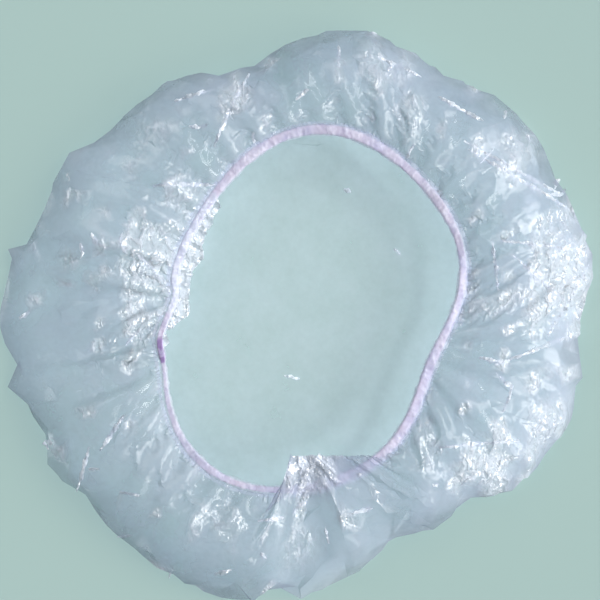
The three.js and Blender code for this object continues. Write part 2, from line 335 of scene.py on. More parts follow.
def crush_at(shape):
    """How crumpled the film is at each point, 1 in the middle of a patch, and how cloudy it is round them."""
    skirt = outside(0.55, 0.06)
    crush = np.zeros(shape.shape[1:])
    cloud = np.zeros(shape.shape[1:])
    ragged = 1 + crumples(shape[0], shape[1], shortest=8, longest=30, count=8, slope=0.16)
    for x, y, width, strength in CRUSHED:
        off = np.hypot(shape[0] - RIM_MIDDLE[0] - x, shape[1] - RIM_MIDDLE[1] - y) * ragged
        crush = np.maximum(crush, skirt * strength * np.clip((1.2 - off / width) / 0.4, 0, 1))
        cloud = np.maximum(cloud, skirt * strength * np.exp(-((off / (CLOUD_REACH * width)) ** 2)))
    return np.maximum(crush, HEM_CRUSH * outside(0.93, 0.06)), cloud


def surface_normals(shape):
    """The ways out of the film's grid, each of length 1."""
    across = np.roll(shape, -1, axis=2) - np.roll(shape, 1, axis=2)
    along = np.gradient(shape, axis=1)
    normal = np.cross(across, along, axis=0)
    return normal / np.maximum(np.linalg.norm(normal, axis=0), 1e-9)


def gathered(shape, crush):
    """The film before it settles, crumpled all over and gathered towards the mouth."""
    drift = np.zeros(COLUMNS)
    for n in range(3, 40):
        drift += rng.normal(0, 2.0 / n) * np.sin(n * cut_angle + rng.uniform(0, 2 * np.pi))
    rise = np.zeros(shape.shape[1:])
    for count, height, start, full, stop in FOLD_BANDS:
        window = np.interp(film_share, (start, full, stop), (0, 1, 0 if stop < 1 else 1))
        uneven = np.convolve(np.tile(rng.random(COLUMNS), 3), np.ones(9) / 9, "same")[COLUMNS : 2 * COLUMNS]
        wave = np.arcsin(np.sin(count * cut_angle + drift * count / 6)) * 2 / np.pi
        rise += height * window[:, None] * (1 + 3 * (uneven - 0.5)) * wave
    x, y = shape[0], shape[1]
    skirt = outside(0.5, 0.1) * inside(1.0, 0.05)
    rise += skirt * crumples(x, y, shortest=14, longest=60, count=14, slope=CRUMPLE_SLOPE)
    rise += skirt * crush * crumples(x, y, shortest=5, longest=14, count=14, slope=CRUSH_SLOPE)
    shape = shape + surface_normals(shape) * rise
    crown = crumples(x, y, shortest=10, longest=40, count=10, slope=0.05)
    shape[2] += inside(0.62, 0.1) * (0.5 + np.maximum(crown, -0.3))
    return shape


def pull(first, second, length, give):
    """Moves two sets of points towards the length that the film has between them."""
    apart = second - first
    now = np.sqrt((apart * apart).sum(axis=0))
    return apart * (0.5 * give * (1 - length / np.maximum(now, 1e-6)))


def evened(values):
    """Values on the film's grid, averaged over a neighbourhood wider than its wrinkles."""
    for axis, half in ((2, 10), (1, 6)):
        sides = values.take(range(-half, 0), axis), values.take(range(half), axis)
        wide = np.concatenate([sides[0], values, sides[1]], axis)
        if axis == 1:
            wide[:, :half] = values[:, :1]
            wide[:, -half:] = values[:, -1:]
        total = np.cumsum(np.concatenate([np.zeros_like(wide.take([0], axis)), wide], axis), axis)
        count = values.shape[axis]
        after = total.take(range(2 * half, 2 * half + count), axis)
        values = (after - total.take(range(count), axis)) / (2 * half)
    return values


def settled(smooth, shape, crush, folded, steps):
    """The film at its true lengths, settled by steps.

    Rings, radii and diagonals keep their lengths, folds resist, and the table carries the film.
    """
    points = shape.astype(np.float32)
    before = points.copy()
    s = film_rows
    turn = 2 * np.pi / COLUMNS
    last = len(s) - 1
    flat_rows = int(np.sum(s < CROWN_HELD))
    swell = 1 + CRUSH_SPARE * crush
    # The rings keep only some of the film that they have over: the rest is in pleats too fine to draw
    drawn = np.linalg.norm(np.roll(smooth, -1, axis=2) - smooth, axis=0)
    spare = np.interp(s, *zip(*RING_SPARE))[:, None]
    ring = np.minimum(2 * s[:, None] * math.sin(turn / 2), drawn * (1 + spare)) * swell
    ring = ring.astype(np.float32)
    ring_two = (ring + np.roll(ring, -1, axis=1)).astype(np.float32)
    drawn = np.linalg.norm(np.diff(smooth, axis=1), axis=0)
    radial = (np.minimum(np.diff(s)[:, None], drawn * (1 + LENGTH_SPARE)) * swell[1:]).astype(np.float32)
    radial_two = radial[1:] + radial[:-1]
    hem_line = points[:, last].copy()
    for step in range(steps):
        speed = (points - before) * DAMPING
        before = points.copy()
        points += speed
        points[2] -= WEIGHT
        for shift in (0, 1):
            turned = np.roll(points, -shift, axis=2)
            length = np.roll(ring, -shift, axis=1)[:, 0::2]
            move = pull(turned[:, :, 0::2], turned[:, :, 1::2], length, 1.0)
            turned[:, :, 0::2] += move
            turned[:, :, 1::2] -= move
            points = np.roll(turned, shift, axis=2)
        for odd in (0, 1):
            a, b = points[:, odd:last:2], points[:, odd + 1 : last + 1 : 2]
            step_out = radial[odd::2]
            move = pull(a, b, step_out, 1.0)
            a += move
            b -= move
            slant = np.sqrt(step_out**2 + (ring[odd:last:2] * ring[odd + 1 : last + 1 : 2]))
            for side in (-1, 1):
                move = pull(a, np.roll(b, side, axis=2), slant, SLANT_GIVE)
                a += move
                b -= np.roll(move, -side, axis=2)
        for shift in (0, 2):
            turned = np.roll(points, -shift, axis=2)
            for lane in (0, 1):
                length = np.roll(ring_two, -shift, axis=1)[:, lane::4]
                move = pull(turned[:, :, lane::4], turned[:, :, lane + 2 :: 4], length, STIFF)
                turned[:, :, lane::4] += move
                turned[:, :, lane + 2 :: 4] -= move
            points = np.roll(turned, shift, axis=2)
        for start in (0, 1, 2, 3):
            a, b = points[:, start : last - 1 : 4], points[:, start + 2 : last + 1 : 4]
            move = pull(a, b, radial_two[start::4], STIFF)
            a += move
            b -= move
        if step % MEMORY_STEPS == 0:
            points += MEMORY * evened(smooth - points)
        points[2] = np.maximum(points[2], TABLE_GAP)
        points[:, last] = hem_line
        points[:, :flat_rows] = shape[:, :flat_rows]
        points[:, folded] = shape[:, folded]
    return points


def mesh_object(name, points, faces):
    """A smooth mesh in the scene, from points in metres and faces."""
    mesh = bpy.data.meshes.new(name)
    mesh.from_pydata([tuple(p) for p in points], [], faces)
    mesh.update()
    mesh.polygons.foreach_set("use_smooth", [True] * len(mesh.polygons))
    piece = bpy.data.objects.new(name, mesh)
    bpy.context.collection.objects.link(piece)
    return piece


def mark(piece, name, values):
    """Keeps a number for each point of a piece, or one for all of them, for its material to read."""
    count = len(piece.data.vertices)
    kept = piece.data.attributes.new(name, "FLOAT", "POINT")
    kept.data.foreach_set("value", np.broadcast_to(values, count).astype(np.float32))


def haze_normals(smooth):
    """Normals that light the haze: it scatters much as film that lies flat does, whichever way it leans."""
    leaning = surface_normals(smooth)
    leaning[:2] *= np.abs(leaning[2])
    leaning[2] = np.abs(leaning[2]) + HAZE_LEVEL
    return leaning / np.linalg.norm(leaning, axis=0)


def film_piece():
    """The film, settled on its grid and drawn as a net of triangles, finer where gathered or crushed."""
    smooth, folded = first_shape()
    crush, cloud = crush_at(smooth)
    shape = gathered(smooth, crush)
    shape[2] = np.maximum(shape[2], TABLE_GAP)
    shape[:, folded] = smooth[:, folded]
    shape = settled(smooth, shape, crush, folded, SETTLE_STEPS)
    edge = 1 / (np.interp(film_share, *zip(*FACET_SHARE))[:, None] + FACET_CRUSH * crush)
    cell = np.gradient(film_rows)[:, None] * (2 * np.pi * film_rows / COLUMNS)[:, None]
    kept = rng.random(edge.shape) < cell / (FACET_AREA * edge**2)
    kept[-1] = True
    kept |= folded
    flat = film_rows[:, None, None] * np.column_stack([np.cos(cut_angle), np.sin(cut_angle)])
    found = delaunay_2d_cdt([Vector(v) for v in flat[kept]], [], [], 0, 1e-6)
    piece = mesh_object("cap_film_sheet", shape[:, kept].T * MM, [tuple(face) for face in found[2]])
    piece.data.set_sharp_from_angle(angle=math.radians(CREASE_ANGLE))
    mark(piece, "crush", crush[kept])
    mark(piece, "cloud", cloud[kept])
    mark(piece, "skirt", np.broadcast_to(outside(0.55, 0.1), crush.shape)[kept])
    lay = piece.data.attributes.new("lay", "FLOAT_VECTOR", "POINT")
    lay.data.foreach_set("vector", haze_normals(smooth)[:, kept].T.astype(np.float32).ravel())
    return piece, shape


def layer_finder(shape, rows):
    """The points of some rows of the film, and a tree that finds the nearest of them in plan."""
    layer = shape[:, rows].reshape(3, -1).T
    tree = KDTree(len(layer))
    for index, point in enumerate(layer):
        tree.insert((point[0], point[1], 0), index)
    tree.balance()
    return layer, tree


def crease_piece(shape):
    """The sharp creases of the film: film pinched up into thin ridges, tapering at both ends."""
    skirt = layer_finder(shape, film_share > SKIRT_FROM)
    crown = layer_finder(shape, film_share < CROWN_TO)
    lines = [(np.array(line, float) + RIM_MIDDLE, skirt) for line in CREASES]
    lines += [(np.array(line, float) + RIM_MIDDLE, crown) for line in CROWN_CREASES]
    for start in skirt[0][rng.integers(0, len(skirt[0]), SHORT_CREASES), :2]:
        turn = rng.uniform(0, np.pi)
        reach = np.outer((-1, 0, 1), (math.cos(turn), math.sin(turn))) * rng.uniform(2, 6)
        lines.append((start + reach + rng.normal(0, 0.8, (3, 2)), skirt))
    points, faces = [], []
    for line, (layer, tree) in lines:
        gone = np.concatenate([[0], np.cumsum(np.linalg.norm(np.diff(line, axis=0), axis=1))])
        at = np.linspace(0, gone[-1], max(int(gone[-1] / CREASE_STEP), 5))
        way = np.column_stack([np.interp(at, gone, line[:, axis]) for axis in (0, 1)])
        way = way + rng.normal(0, CREASE_WANDER, (len(at), 2))
        found = [tree.find((*place, 0)) for place in way]
        near = np.array([distance < CREASE_REACH for _, _, distance in found])
        way = way[near]
        if len(way) < 4:
            continue
        heights = [layer[index, 2] for (_, index, _), kept in zip(found, near) if kept]
        along = np.gradient(way, axis=0)
        across = np.column_stack([-along[:, 1], along[:, 0]])
        across = across / np.maximum(np.linalg.norm(along, axis=1), 1e-6)[:, None]
        taper = np.sin(np.pi * np.linspace(0.04, 0.96, len(way))) ** 0.5 * rng.uniform(0.3, 1.2, len(way))
        for place, side, size, height in zip(way, across, taper, heights):
            for step, rise in ((-1, -CREASE_SINK), (0, CREASE_HEIGHT * size), (1, -CREASE_SINK)):
                points.append((*(place + side * step * CREASE_WIDTH * size), height + rise))
        first = len(points) - 3 * len(way)
        for row in range(first, len(points) - 3, 3):
            faces += [(row, row + 1, row + 4, row + 3), (row + 1, row + 2, row + 5, row + 4)]
    piece = mesh_object("film_creases", np.array(points) * MM, faces)
    mark(piece, "crush", 0.9)
    mark(piece, "cloud", 1.0)
    return piece


def frill_piece():
    """The part of the hem that shows inside the elastic: a ruffled edge of film, wide in some places."""
    start, stop = (np.radians(FRILL[i][0]) for i in (0, -1))
    steps = FRILL_FOLDS * FRILL_STEPS
    place, away, height = mouth_places(np.linspace(0, 1, 2001)[:-1])
    turn = (np.arctan2(*(place - MOUTH_MIDDLE).T[::-1]) + 2 * np.pi) % (2 * np.pi)
    order = np.argsort(turn)
    along = np.linspace(start, stop, steps)
    x, y, away_x, away_y, z = (
        np.interp(along, turn[order], values[order]) for values in (*place.T, *away.T, height)
    )
    width = np.interp(np.degrees(along), *zip(*FRILL))
    phase = 2 * np.pi * FRILL_FOLDS * np.linspace(0, 1, steps) + np.cumsum(rng.normal(0, 0.25, steps))
    ruffle = np.arcsin(np.sin(phase)) * 2 / np.pi
    width = width * (0.95 + 0.15 * np.arcsin(np.sin(phase * 0.5 + 1)) * 2 / np.pi)
    rows = np.linspace(0, 1, FRILL_ROWS)[:, None]
    inward = -FRILL_ROOT + rows * (width + FRILL_ROOT)
    rise = FRILL_LIFT + FRILL_RUFFLE * ruffle * rows - FRILL_DROOP * rows**2 * width / FRILL_FULL
    x, y = x - away_x * inward, y - away_y * inward
    rise = rise + rows * crumples(x, y, shortest=2, longest=6, count=10, slope=0.6)
    points = np.stack([x, y, z + rise], axis=-1).reshape(-1, 3)
    index = np.arange(FRILL_ROWS * steps).reshape(FRILL_ROWS, steps)
    corners = [index[:-1, :-1], index[:-1, 1:], index[1:, 1:], index[1:, :-1]]
    faces = np.stack(corners, axis=-1).reshape(-1, 4)
    piece = mesh_object("hem_frill", points * MM, faces.tolist())
    mark(piece, "crush", 1.0)
    mark(piece, "cloud", 1.0)
    return piece


def lap_rise(turns):
    """How far the strip's end climbs to lie on its start."""
    return LAP_RISE * np.clip((turns - 1 + LAP_RAMP / LOOP) / (LAP_RAMP / LOOP), 0, 1)


def loop_curve(name, points, start=LAP_SHARE, turns=1, out=0.0, up=0.0, rise=None):
    """A curve along the mouth, from a share of its length and for a number of turns."""
    closed = turns == 1
    at = start + turns * np.arange(points) / (points if closed else points - 1)
    place, away, height = mouth_places(at)
    height = height + up + (0 if rise is None else rise(turns * np.arange(points) / (points - 1)))
    data = bpy.data.curves.new(name, "CURVE")
    data.dimensions = "3D"
    spline = data.splines.new("POLY")
    spline.points.add(points - 1)
    line = np.column_stack([place + away * out, height]) * MM
    spline.points.foreach_set("co", np.column_stack([line, np.ones(points)]).ravel())
    spline.use_cyclic_u = closed
    piece = bpy.data.objects.new(name, data)
    bpy.context.collection.objects.link(piece)
    return piece


def hex_colour(text):
    """A colour written as sRGB hex, in linear light."""
    levels = [int(text[i : i + 2], 16) / 255 for i in (1, 3, 5)]
    return tuple(v / 12.92 if v <= 0.04045 else ((v + 0.055) / 1.055) ** 2.4 for v in levels) + (1.0,)


def cells(size):
    """The scale of a pattern whose spots are this many millimetres across."""
    return 1 / (size * MM)


def add_node(tree, kind, settings=None, **sockets):
    """Adds a node, sets its properties, and sets or links its input sockets.

    A socket is called by its name, with _ for a space, or by i and its number. A node that is given as a
    value stands for its first output.
    """
    node = tree.nodes.new(kind)
    for key, value in (settings or {}).items():
        setattr(node, key, value)
    for key, value in sockets.items():
        numbered = key[0] == "i" and key[1:].isdigit()
        socket = node.inputs[int(key[1:]) if numbered else key.replace("_", " ")]
        if isinstance(value, bpy.types.Node):
            value = next(output for output in value.outputs if output.enabled)
        if isinstance(value, bpy.types.NodeSocket):
            tree.links.new(value, socket)
        else:
            socket.default_value = value
    return node


# What a sweep is given: lengths in metres, the number of ribs, their drift, a twist and a share of swelling
SWEEP_SIZES = (
    "Width", "Thickness", "Corner", "Ribs", "Rib depth", "Rib drift", "Lump depth", "Lump size",
    "Twist", "Swell",
)


def sweep_tree(name, material):
    """A tree that sweeps a rounded strip along a curve, twists and swells it, and gives it ribs and lumps."""
    tree = bpy.data.node_groups.new(name, "GeometryNodeTree")
    tree.interface.new_socket("Geometry", in_out="INPUT", socket_type="NodeSocketGeometry")
    for label in SWEEP_SIZES:
        tree.interface.new_socket(label, in_out="INPUT", socket_type="NodeSocketFloat")
    tree.interface.new_socket("Geometry", in_out="OUTPUT", socket_type="NodeSocketGeometry")
    given = tree.nodes.new("NodeGroupInput").outputs
    where = add_node(tree, "GeometryNodeInputPosition")

    # The path: upright, twisted here and there, with its place along the loop kept for the ribs
    upright = add_node(tree, "GeometryNodeSetCurveNormal", {"mode": "Z_UP"}, Curve=given["Geometry"])
    sway = add_node(tree, "ShaderNodeTexNoise", Vector=where, Scale=cells(40), Detail=1.0)
    sway = add_node(tree, "ShaderNodeMath", {"operation": "SUBTRACT"}, i0=sway, i1=0.5)
    sway = add_node(tree, "ShaderNodeMath", {"operation": "MULTIPLY"}, i0=sway, i1=given["Twist"])
    turned = add_node(tree, "GeometryNodeSetCurveTilt", Curve=upright, Tilt=sway)
    kept = add_node(tree, "GeometryNodeCaptureAttribute", {"domain": "POINT"}, Geometry=turned)
    kept.capture_items.new("FLOAT", "along")
    tree.links.new(add_node(tree, "GeometryNodeSplineParameter").outputs["Factor"], kept.inputs["along"])

    # The strip: a rounded oblong, wider in some places than in others
    section = add_node(
        tree, "GeometryNodeCurvePrimitiveQuadrilateral", {"mode": "RECTANGLE"},
        Width=given["Width"], Height=given["Thickness"],
    )
    rounded = add_node(
        tree, "GeometryNodeFilletCurve", {"mode": "POLY"},
        Curve=section, Count=4, Radius=given["Corner"], Limit_Radius=True,
    )
    fine = add_node(tree, "GeometryNodeResampleCurve", {"mode": "COUNT"}, Curve=rounded, Count=24)
    slow = add_node(tree, "ShaderNodeTexNoise", Vector=where, Scale=cells(62.5), Detail=1.0)
    slow = add_node(tree, "ShaderNodeMath", {"operation": "SUBTRACT"}, i0=slow, i1=0.5)
    wide = add_node(tree, "ShaderNodeMath", {"operation": "MULTIPLY_ADD"}, i0=slow, i1=given["Swell"], i2=1.0)
    swept = add_node(
        tree, "GeometryNodeCurveToMesh", Curve=kept, Profile_Curve=fine, Scale=wide, Fill_Caps=True
    )

    # Ribs across the strip, out of step with each other, and lumps
    drift = add_node(tree, "ShaderNodeTexNoise", Vector=where, Scale=cells(14.3), Detail=1.0)
    turn = add_node(
        tree, "ShaderNodeMath", {"operation": "MULTIPLY"}, i0=kept.outputs["along"], i1=given["Ribs"]
    )
    turn = add_node(
        tree, "ShaderNodeMath", {"operation": "MULTIPLY_ADD"}, i0=drift, i1=given["Rib drift"], i2=turn
    )
    angle = add_node(tree, "ShaderNodeMath", {"operation": "MULTIPLY"}, i0=turn, i1=2 * math.pi)
    wave = add_node(tree, "ShaderNodeMath", {"operation": "SINE"}, i0=angle)
    ribs = add_node(tree, "ShaderNodeMath", {"operation": "MULTIPLY"}, i0=wave, i1=given["Rib depth"])
    scale = add_node(tree, "ShaderNodeMath", {"operation": "DIVIDE"}, i0=1.0, i1=given["Lump size"])
    lumps = add_node(tree, "ShaderNodeTexNoise", Vector=where, Scale=scale, Detail=2.0)
    level = add_node(tree, "ShaderNodeMath", {"operation": "SUBTRACT"}, i0=lumps, i1=0.5)
    rise = add_node(
        tree, "ShaderNodeMath", {"operation": "MULTIPLY_ADD"}, i0=level, i1=given["Lump depth"], i2=ribs
    )
    normal = add_node(tree, "GeometryNodeInputNormal")
    offset = add_node(tree, "ShaderNodeVectorMath", {"operation": "SCALE"}, i0=normal, Scale=rise)
    moved = add_node(tree, "GeometryNodeSetPosition", Geometry=swept, Offset=offset)

    smooth = add_node(tree, "GeometryNodeSetShadeSmooth", Geometry=moved)
    real = add_node(tree, "GeometryNodeRealizeInstances", Geometry=smooth)
    dressed = add_node(tree, "GeometryNodeSetMaterial", Geometry=real, Material=material)
    result = tree.nodes.new("NodeGroupOutput")
    tree.links.new(dressed.outputs["Geometry"], result.inputs["Geometry"])
    return tree


def swept_piece(name, curve, tree, **sizes):
    """Runs a tree on a curve with its named sizes, and keeps the result as a plain mesh."""
    modifier = curve.modifiers.new("sweep", "NODES")
    modifier.node_group = tree
    for socket in tree.interface.items_tree:
        if socket.in_out == "INPUT" and socket.name.replace(" ", "_") in sizes:
            modifier[socket.identifier] = float(sizes[socket.name.replace(" ", "_")])
    seen = curve.evaluated_get(bpy.context.evaluated_depsgraph_get())
    mesh = bpy.data.meshes.new_from_object(seen)
    mesh.name = name
    bpy.data.objects.remove(curve)
    piece = bpy.data.objects.new(name, mesh)
    bpy.context.collection.objects.link(piece)
    return piece


def new_material(name):
    """An empty material and its tree."""
    material = bpy.data.materials.new(name)
    material.use_nodes = True
    material.node_tree.nodes.clear()
    return material, material.node_tree


def film_patterns(tree, patch, skirt):
    """The film's place, its fine creases, its shards, and how crumpled it is, with small crumples added."""
    place = add_node(tree, "ShaderNodeTexCoord").outputs["Object"]
    bent = add_node(tree, "ShaderNodeTexNoise", Vector=place, Scale=cells(5), Detail=2.0).outputs["Color"]
    swayed = add_node(
        tree, "ShaderNodeVectorMath", {"operation": "MULTIPLY_ADD"},
        i0=bent, i1=(6 * MM, 6 * MM, 6 * MM), i2=place,
    )
    shards = add_node(
        tree, "ShaderNodeMapping", Vector=swayed, Rotation=(0, 0, 0.6), Scale=(1.0, 0.5, 0.8)
    ).outputs["Vector"]
    lined_up = add_node(tree, "ShaderNodeMapping", Vector=swayed, Rotation=(0, 0, 0.9), Scale=(1.0, 0.4, 0.8))
    creases = add_node(
        tree, "ShaderNodeTexNoise", {"noise_type": "RIDGED_MULTIFRACTAL", "normalize": False},
        Vector=lined_up, Scale=cells(6.67), Detail=3.0, Roughness=0.5, Offset=1.0, Gain=1.5,
    ).outputs["Fac"]
    spot = add_node(tree, "ShaderNodeTexVoronoi", Vector=shards, Scale=cells(14.3))
    near = add_node(tree, "ShaderNodeMapRange", i0=spot, i1=0.12, i2=0.3, i3=1.0, i4=0.0)
    pick = add_node(tree, "ShaderNodeSeparateColor", Color=spot.outputs["Color"])
    some = add_node(tree, "ShaderNodeMath", {"operation": "GREATER_THAN"}, i0=pick, i1=0.88)
    small = add_node(tree, "ShaderNodeMath", {"operation": "MULTIPLY"}, i0=near, i1=some)
    small = add_node(tree, "ShaderNodeMath", {"operation": "MULTIPLY"}, i0=small, i1=skirt)
    crush = add_node(tree, "ShaderNodeMath", {"operation": "MAXIMUM"}, i0=small, i1=patch).outputs["Value"]
    return place, creases, shards, crush


def film_normals(tree, place, creases, shards, patch, crush):
    """Normals for the haze, which follows the film's lay, and for the gloss, which breaks up into facets."""
    ripple = add_node(tree, "ShaderNodeTexNoise", Vector=place, Scale=cells(9.1), Detail=2.0, Roughness=0.5)
    normal = add_node(tree, "ShaderNodeBump", Height=ripple, Strength=0.12, Distance=2 * MM)
    lay = add_node(tree, "ShaderNodeAttribute", {"attribute_name": "lay"}).outputs["Vector"]
    away = add_node(tree, "ShaderNodeVectorMath", {"operation": "FACEFORWARD"}, i0=lay, i1=normal, i2=lay)
    part = add_node(tree, "ShaderNodeVectorMath", {"operation": "SCALE"}, i0=normal, Scale=0.14)
    even = add_node(
        tree, "ShaderNodeVectorMath", {"operation": "MULTIPLY_ADD"},
        i0=away, i1=(-0.86, -0.86, -0.86), i2=part,
    )
    even = add_node(tree, "ShaderNodeVectorMath", {"operation": "NORMALIZE"}, i0=even)
    frost = add_node(tree, "ShaderNodeBump", Height=creases, Strength=patch, Distance=0.8 * MM, Normal=even)
    crisp = add_node(tree, "ShaderNodeBump", Height=creases, Strength=patch, Distance=1 * MM, Normal=normal)
    # Crumpled film leans to the window on the whole, and its facets lean every way
    lean = add_node(tree, "ShaderNodeVectorMath", {"operation": "SCALE"}, i0=(0.26, 0.05, 0.0), Scale=crush)
    tilted = add_node(tree, "ShaderNodeVectorMath", {"operation": "ADD"}, i0=crisp, i1=lean)
    amount = add_node(tree, "ShaderNodeMath", {"operation": "MULTIPLY"}, i0=crush, i1=0.8)
    for size in (3.85, 1.43):
        facets = add_node(tree, "ShaderNodeTexVoronoi", Vector=shards, Scale=cells(size)).outputs["Color"]
        lean = add_node(
            tree, "ShaderNodeVectorMath", {"operation": "SUBTRACT"}, i0=facets, i1=(0.5, 0.5, 0.5)
        )
        lean = add_node(tree, "ShaderNodeVectorMath", {"operation": "SCALE"}, i0=lean, Scale=amount)
        tilted = add_node(tree, "ShaderNodeVectorMath", {"operation": "ADD"}, i0=tilted, i1=lean)
    facet = add_node(tree, "ShaderNodeVectorMath", {"operation": "NORMALIZE"}, i0=tilted)
    return frost, facet


def film_cover(tree, place, creases, patch, skirt):
    """How much haze covers the clear film: mottled, thin in parts of the skirt, dense along fine creases."""
    mottle = add_node(tree, "ShaderNodeTexNoise", Vector=place, Scale=cells(22.2), Detail=4.0, Roughness=0.6)
    mottle = add_node(tree, "ShaderNodeMapRange", i0=mottle, i1=0.3, i2=0.7, i3=0.27, i4=0.45)
    thin = add_node(tree, "ShaderNodeTexNoise", Vector=place, Scale=cells(41.7), Detail=4.0, Roughness=0.6)
    thin = add_node(tree, "ShaderNodeMapRange", i0=thin, i1=0.4, i2=0.6, i3=-0.24, i4=0.06)
    cloud = add_node(tree, "ShaderNodeAttribute", {"attribute_name": "cloud"}).outputs["Fac"]
    smooth = add_node(tree, "ShaderNodeMath", {"operation": "SUBTRACT"}, i0=skirt, i1=cloud)
    cover = add_node(tree, "ShaderNodeMath", {"operation": "MULTIPLY_ADD"}, i0=smooth, i1=thin, i2=mottle)
    cover = add_node(tree, "ShaderNodeMath", {"operation": "MULTIPLY_ADD"}, i0=cloud, i1=0.32, i2=cover)
    lines = add_node(tree, "ShaderNodeMapRange", i0=creases, i1=0.9, i2=1.5, i3=0.05, i4=0.6)
    return add_node(tree, "ShaderNodeMath", {"operation": "MULTIPLY_ADD"}, i0=patch, i1=lines, i2=cover)


def film_material(name, roughness):
    """Blown polyethylene film: clear under a mottled lavender haze, white with flat glints where crumpled,
    and with painted shade on the skirt: a greyer haze and a darker clear part.
    """
    material, tree = new_material(name)
    patch = add_node(tree, "ShaderNodeAttribute", {"attribute_name": "crush"}).outputs["Fac"]
    skirt = add_node(tree, "ShaderNodeAttribute", {"attribute_name": "skirt"}).outputs["Fac"]
    place, creases, shards, crush = film_patterns(tree, patch, skirt)
    frost, facet = film_normals(tree, place, creases, shards, patch, crush)
    cover = film_cover(tree, place, creases, patch, skirt)
    # Painted shade: the skirt's haze is painted greyer than the crown's, though both are the same film. Where
    # crumpled, the haze turns whiter, as frosted film does.
    haze_and_painted_shade = add_node(
        tree, "ShaderNodeMix", {"data_type": "RGBA"},
        i0=skirt, i6=hex_colour("#E6EBF6"), i7=hex_colour("#CAD2E3"),
    )
    haze_and_painted_shade = add_node(tree, "ShaderNodeMix", {"data_type": "RGBA"}, i0=patch, i6=haze_and_painted_shade, i7=hex_colour("#EAF0F9"))
    haze = add_node(tree, "ShaderNodeBsdfPrincipled", Base_Color=haze_and_painted_shade, Roughness=0.35, IOR=1.6, Normal=frost)
    glow = add_node(tree, "ShaderNodeBsdfTranslucent", Color=haze_and_painted_shade, Normal=frost)
    veil = add_node(tree, "ShaderNodeMixShader", i0=0.4, i1=haze, i2=glow)
    # Partly painted shade: the skirt's clear film passes light darkened to #ECEEF1, far more than its stacked
    # layers would absorb.
    tint = add_node(
        tree, "ShaderNodeMix", {"data_type": "RGBA"}, i0=skirt, i6=(1, 1, 1, 1), i7=hex_colour("#ECEEF1")
    )
    clear = add_node(tree, "ShaderNodeBsdfTransparent", Color=tint)
    body = add_node(tree, "ShaderNodeMixShader", i0=cover, i1=clear, i2=veil)
    mirror = add_node(tree, "ShaderNodeFresnel", IOR=1.45, Normal=facet)
    mirror = add_node(tree, "ShaderNodeMath", {"operation": "MINIMUM"}, i0=mirror, i1=0.025)
    shine = add_node(tree, "ShaderNodeMath", {"operation": "MULTIPLY_ADD"}, i0=crush, i1=0.13, i2=mirror)
    gloss = add_node(tree, "ShaderNodeBsdfGlossy", Color=(1, 1, 1, 1), Roughness=roughness, Normal=facet)
    film = add_node(tree, "ShaderNodeMixShader", i0=shine, i1=body, i2=gloss)
    # Film this thin scatters light forwards, so it hardly shades what lies under it
    lamplight = add_node(tree, "ShaderNodeLightPath").outputs["Is Shadow Ray"]
    passed = add_node(tree, "ShaderNodeBsdfTransparent", Color=hex_colour("#F4F5F8"))
    seen = add_node(tree, "ShaderNodeMixShader", i0=lamplight, i1=film, i2=passed)
    add_node(tree, "ShaderNodeOutputMaterial", Surface=seen)
    return material


def elastic_material():
    """Extruded elastic under the casing: a soft matt lavender pink, deeper in colour where it is lapped."""
    material, tree = new_material("pink_elastic")
    place = add_node(tree, "ShaderNodeTexCoord").outputs["Object"]
    tint = add_node(tree, "ShaderNodeTexNoise", Vector=place, Scale=cells(11.1), Detail=3.0)
    tint = add_node(tree, "ShaderNodeValToRGB", Fac=tint)
    for stop, position, colour in zip(tint.color_ramp.elements, (0.35, 0.65), ("#AEA8C6", "#C8BACD")):
        stop.position = position
        stop.color = hex_colour(colour)
    lap = add_node(tree, "ShaderNodeAttribute", {"attribute_name": "lap"}).outputs["Fac"]
    colour = add_node(tree, "ShaderNodeMix", {"data_type": "RGBA"}, i0=lap, i6=tint, i7=hex_colour("#9882B4"))
    grain = add_node(tree, "ShaderNodeTexNoise", Vector=place, Scale=cells(1.11), Detail=2.0)
    bump = add_node(tree, "ShaderNodeBump", Height=grain, Strength=0.3, Distance=0.4 * MM)
    skin = add_node(tree, "ShaderNodeBsdfPrincipled", Base_Color=colour, Roughness=0.55, Normal=bump)
    add_node(tree, "ShaderNodeOutputMaterial", Surface=skin)
    return material


def weld_material():
    """Elastic fused by heat: darker and glossier than the strip."""
    material, tree = new_material("fused_elastic")
    place = add_node(tree, "ShaderNodeTexCoord").outputs["Object"]
    tint = add_node(tree, "ShaderNodeTexNoise", Vector=place, Scale=cells(2.5), Detail=2.0)
    tint = add_node(tree, "ShaderNodeValToRGB", Fac=tint)
    for stop, colour in zip(tint.color_ramp.elements, ("#967AB0", "#B492C8")):
        stop.color = hex_colour(colour)
    skin = add_node(tree, "ShaderNodeBsdfPrincipled", Base_Color=tint, Roughness=0.35)
    add_node(tree, "ShaderNodeOutputMaterial", Surface=skin)
    return material


def floor_material():
    """Matt paint in a pale green, with hardly any shine."""
    material, tree = new_material("pale_green_floor")
    paint = add_node(
        tree, "ShaderNodeBsdfPrincipled",
        Base_Color=hex_colour("#AAC4BF"), Roughness=0.9, Specular_IOR_Level=0.1,
    )
    add_node(tree, "ShaderNodeOutputMaterial", Surface=paint)
    return material


def lamp(name, azimuth, elevation, spread, brightness):
    """A far round lamp: its direction, its half angle as the cap sees it, and its radiance."""
    data = bpy.data.lights.new(name, "SUN")
    data.angle = math.radians(2 * spread)
    data.energy = brightness * math.pi * math.sin(math.radians(spread)) ** 2
    piece = bpy.data.objects.new(name, data)
    piece.rotation_euler = (0, math.radians(90 - elevation), math.radians(azimuth))
    bpy.context.collection.objects.link(piece)


